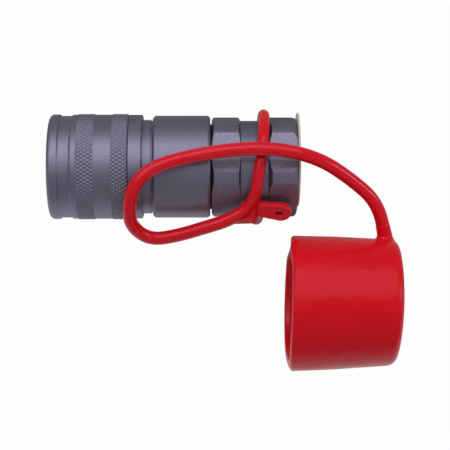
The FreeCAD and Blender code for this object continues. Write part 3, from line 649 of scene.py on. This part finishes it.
def rounded_profile(corners, steps=7):
    """Polyline with a third value at a corner as its rounding."""
    line = []
    for place, corner in enumerate(corners):
        here = Vector(corner[:2])
        if len(corner) == 2:
            line.append(here)
            continue
        back = (Vector(corners[place - 1][:2]) - here).normalized()
        ahead = (Vector(corners[place + 1][:2]) - here).normalized()
        half = back.angle(ahead) / 2
        reach = corner[2] / math.tan(half)
        centre = here + (back + ahead).normalized() * corner[2] / math.sin(half)
        start = here + back * reach - centre
        turn = start.angle_signed(here + ahead * reach - centre)
        for step in range(steps + 1):
            line.append(centre + Matrix.Rotation(-turn * step / steps, 2) @ start)
    return line


def mouth_bend(outward):
    """How far the mouth is bent back along the axis, in mm, on one side of it. The
    side towards +Y is skewed, forward at its top and back underneath. The side
    towards -Y stands back, and the top of the cap as it lies hangs forward."""
    # from 40 to 62 degrees round from the top, the skew comes in
    upper = min(1.0, max(0.0, (outward.y - 0.64) / 0.24))
    eased = upper ** 2 * (3 - 2 * upper)
    skewed = eased * (0.1 - 0.8 * max(-1.0, min(1.0, outward.z / 0.45)))
    standing_back = max(0.0, -outward.y) ** 12
    hanging_over = 0.4 * max(0.0, outward.z) ** 2
    return skewed + (standing_back - hanging_over)


def cap_ring(along, radius):
    """Points round the cap's own axis, at one place of its outline."""
    ring = []
    for step in range(CAP_AROUND if radius > 1e-6 else 1):
        angle = math.tau * step / CAP_AROUND
        outward = Vector((0, math.sin(angle), math.cos(angle)))
        wave = noise.noise((outward * radius + Vector((along, 0, 0))) / CAP_WAVE)
        point = outward * (radius + wave * CAP_UNEVEN) if radius > 1e-6 else Vector()
        bend = max(0.0, 1 - along / MOUTH_LENGTH) * mouth_bend(outward)
        point.x = along + CAP_LEAN * point.y + bend
        ring.append(point)
    return ring


# a dipped skin is duller and more rippled than one from a polished mould
dull_pvc = soft_pvc("dull_red_pvc", 0.25, 0.06, 0.22, 0.2)
cap_line = rounded_profile(cap_outline)[:-1]
for step in range(9):
    radius = DOME_R * (1 - step / 8)
    cap_line.append(Vector((DOME_X - radius ** 2 / (2 * DOME_CURVE), radius)))
cap_pose = (Matrix.Translation(Vector(CAP_MOUTH))
            @ Matrix.Rotation(math.radians(CAP_YAW), 4, "Z")
            @ Matrix.Rotation(math.radians(CAP_DIP), 4, "Y"))
cup = bmesh.new()
join_rings(cup, [[cup.verts.new(cap_pose @ point * MM) for point in cap_ring(along, radius)]
                 for along, radius in cap_line])
dust_cap = piece_from("dust_cap_moulded", cup, dull_pvc, "cap_set")
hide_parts("dust_cap")

# Stub of the cap
# Short PVC stub that the tether is welded to, moulded with the cap. Its foot
# spreads into a fillet that follows the cap's round skin.
STUB_AROUND = 48            # steps round the stub
FOOT_R = 2.95               # mm, where the fillet begins
FILLET_HEIGHT = 2.4         # mm
FILLET_REACH = 1.5          # mm, how far the fillet spreads
FOOT_SUNK = 0.04            # mm, into the cap's skin, so that no gap shows
SKIN_LIMIT = 11.0           # mm, how far from the cord's end the skin is looked for

cord_end = Vector(route[-1])
onward = (cord_end - Vector(route[-2])).normalized()
side = onward.orthogonal().normalized()
other = onward.cross(side)
cap_skin = BVHTree.FromPolygons([vert.co / MM for vert in dust_cap.data.vertices],
                                [list(face.vertices) for face in dust_cap.data.polygons])
# distance from the cord's end and radius: the stub widens towards its foot
stub_rings = [circle(cord_end + onward * reach, side, other, radius, STUB_AROUND)
              for reach, radius in ((-0.6, 2.3), (0.0, 2.69), (1.2, 2.75), (2.6, 2.85))]
for row in range(9):
    turn = math.pi / 2 * row / 8
    radius = FOOT_R + FILLET_REACH * (1 - math.cos(turn))
    ring = []
    for start in circle(cord_end, side, other, radius, STUB_AROUND):
        distance = min(cap_skin.ray_cast(start, onward)[3] or SKIN_LIMIT, SKIN_LIMIT)
        above = FILLET_HEIGHT * (1 - math.sin(turn))
        ring.append(start + onward * (distance + FOOT_SUNK - above))
    stub_rings.append(ring)
stub_shape = bmesh.new()
skin_rings = [[stub_shape.verts.new(point * MM) for point in ring] for ring in stub_rings]
join_rings(stub_shape, skin_rings)
stub_shape.faces.new(list(reversed(skin_rings[0])))
piece_from("dust_cap_stub", stub_shape, dull_pvc, "cap_set")

# Table and light
# White table top in a pale, evenly bright room, lit by one large soft light above
# and beyond the coupler, with a narrow strip beside it and a weak light low on
# the right.
HALF_TABLE = 3.0            # m, from its middle to its edge
TABLE_GAP = 0.05            # mm, between the table top and the lowest piece

table_mesh = bmesh.new()
bmesh.ops.create_grid(table_mesh, x_segments=8, y_segments=8, size=HALF_TABLE)
bmesh.ops.translate(table_mesh, verts=table_mesh.verts,
                    vec=(0, 0, cad_box[0][2] - TABLE_GAP * MM))
table_data = bpy.data.meshes.new("table")
table_mesh.to_mesh(table_data)
table_mesh.free()
table = bpy.data.objects.new("table", table_data)
bpy.context.scene.collection.objects.link(table)

white_top, table_output = finish_named("white_table_top")
matte = add(white_top, "ShaderNodeBsdfDiffuse", {"Color": linear("#c6c6c6")})
rays = add(white_top, "ShaderNodeLightPath")
ground = add(white_top, "ShaderNodeSeparateXYZ", {
    0: add(white_top, "ShaderNodeNewGeometry").outputs["Position"]})
# The camera sees a white top, of strength 1. What metal and gloss mirror of it is painted
# light and shade: it falls to a third beyond the coupler's axis, and to a third again on the
# right, round the cap, but not in front of it. Places are in metres.
beyond = add(white_top, "ShaderNodeMapRange", {
    "Value": ground.outputs["Y"], "From Min": -0.03, "From Max": 0.03,
    "To Min": 1.0, "To Max": 0.3})
beside = add(white_top, "ShaderNodeMapRange", {
    "Value": ground.outputs["X"], "From Min": 0.055, "From Max": 0.085,
    "To Min": 1.0, "To Max": 0.35})
in_front = add(white_top, "ShaderNodeMapRange", {
    "Value": ground.outputs["Y"], "From Min": -0.08, "From Max": -0.06,
    "To Min": 1.0, "To Max": 0.0})
open_table = add(white_top, "ShaderNodeMath", {
    0: beside.outputs[0], 1: in_front.outputs[0]}, operation="MAXIMUM")
# painted light and shade on the table, seen only in reflections
painted_reflection_level = add(white_top, "ShaderNodeMath", {
    0: beyond.outputs[0], 1: open_table.outputs[0]}, operation="MULTIPLY")
glow = add(white_top, "ShaderNodeMath", {
    0: rays.outputs["Is Camera Ray"], 1: painted_reflection_level.outputs[0]}, operation="MAXIMUM")
bright = add(white_top, "ShaderNodeEmission", {
    "Color": linear("#ffffff"), "Strength": glow.outputs[0]})
# the glow has a share of 0.98 for the camera and of 0.6 in reflections; the rest
# is the matte top, with the shadows that lie on it
mirrored = add(white_top, "ShaderNodeMath", {
    0: rays.outputs["Is Glossy Ray"], 1: rays.outputs["Is Transmission Ray"]},
    operation="MAXIMUM")
mirrored_share = add(white_top, "ShaderNodeMath", {
    0: mirrored.outputs[0], 1: 0.6}, operation="MULTIPLY")
share = add(white_top, "ShaderNodeMath", {
    0: rays.outputs["Is Camera Ray"], 1: 0.98, 2: mirrored_share.outputs[0]},
    operation="MULTIPLY_ADD")
blend = add(white_top, "ShaderNodeMixShader", {
    0: share.outputs[0], 1: matte.outputs[0], 2: bright.outputs[0]})
white_top.node_tree.links.new(blend.outputs[0], table_output.inputs["Surface"])
table_data.materials.append(white_top)

# the room is a little brighter on the near side than beyond the coupler
world = bpy.data.worlds.new("pale_room")
world.use_nodes = True
world.node_tree.nodes.clear()
facing = add(world, "ShaderNodeSeparateXYZ", {
    0: add(world, "ShaderNodeTexCoord").outputs["Generated"]})
level = add(world, "ShaderNodeMapRange", {
    "Value": facing.outputs["Y"], "From Min": -1.0, "To Min": 0.37, "To Max": 0.34})
room = add(world, "ShaderNodeBackground", {
    "Color": linear("#fbfbff"), "Strength": level.outputs[0]})
add(world, "ShaderNodeOutputWorld", {"Surface": room.outputs[0]})
bpy.context.scene.world = world


def soft_light(name, place, aim, size, watts, tint):
    """Rectangular soft light that faces a point; places and sizes in metres."""
    lamp = bpy.data.lights.new(name, "AREA")
    lamp.shape = "RECTANGLE"
    lamp.size, lamp.size_y = size
    lamp.energy = watts
    lamp.color = linear(tint)[:3]
    made = bpy.data.objects.new(name, lamp)
    bpy.context.scene.collection.objects.link(made)
    made.location = place
    made.rotation_euler = (Vector(aim) - Vector(place)).to_track_quat("-Z", "Y").to_euler()


soft_light("main_light", (0.0, 0.46, 0.69), (0.07, -0.02, 0), (1.5, 0.85), 4.9, "#f8f6fe")
soft_light("side_light", (0.95, 0.12, 0.3), (0.13, -0.03, 0), (0.12, 0.4), 1.1, "#fffafa")
soft_light("strip_light", (-0.2, 0.44, 0.62), (0.07, -0.02, 0), (0.7, 0.06), 0.45, "#f8f8ff")
